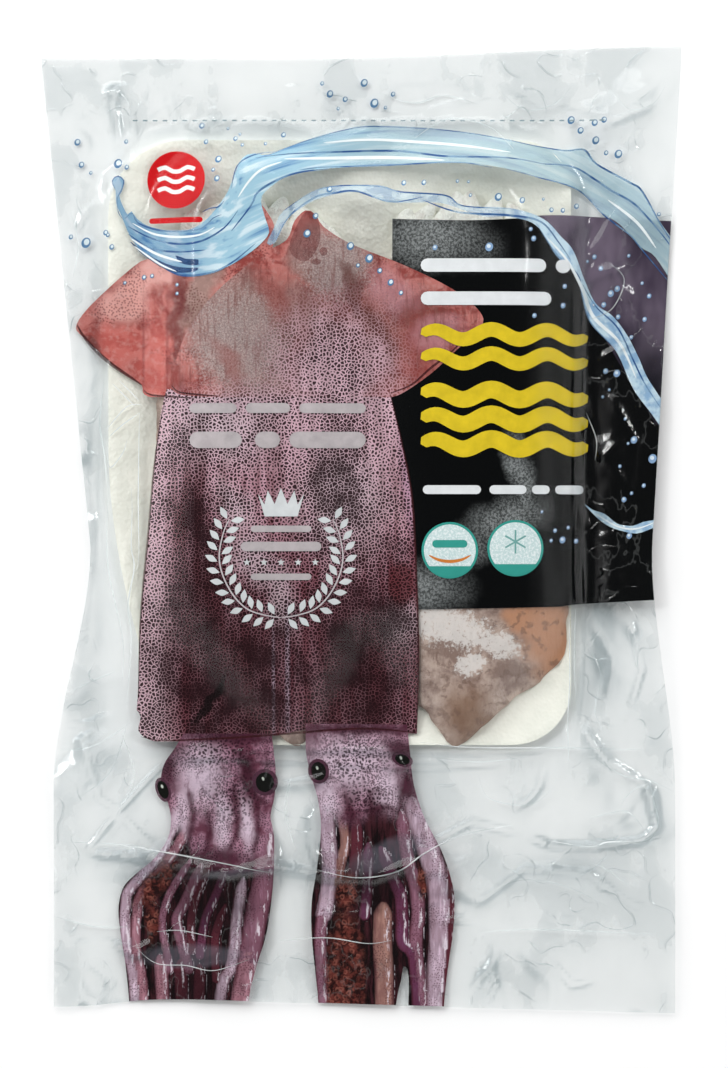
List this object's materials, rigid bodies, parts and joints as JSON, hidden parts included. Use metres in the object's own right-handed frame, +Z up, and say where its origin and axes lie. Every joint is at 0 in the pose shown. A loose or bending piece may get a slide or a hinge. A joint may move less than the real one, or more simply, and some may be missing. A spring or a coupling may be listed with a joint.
{
  "type": "vacuum pack of whole raw squid",
  "caption": "Clear vacuum pouch of frozen whole raw squid on a tray, lying flat with its printed side up.",
  "frame": {"origin": "on the resting face, under the middle of the pouch's own rectangle", "axes": "+Z up out of the printed side, +Y towards the pouch's top seal, +X to the right as the print is read"},
  "size_m": [0.2196, 0.3312, 0.0213],
  "materials": {
    "clear_film": "clear laminated pouch film, glossy and finely wrinkled",
    "print_ink": "printed ink under a glossy film, in fields of colour",
    "squid_flesh": "wet raw squid, brown and mauve, with white frost",
    "tray": "satin ivory foam"
  },
  "bodies": {
    "root": {"sealed_pouch": "clear_film"}
  },
  "joints": []
}
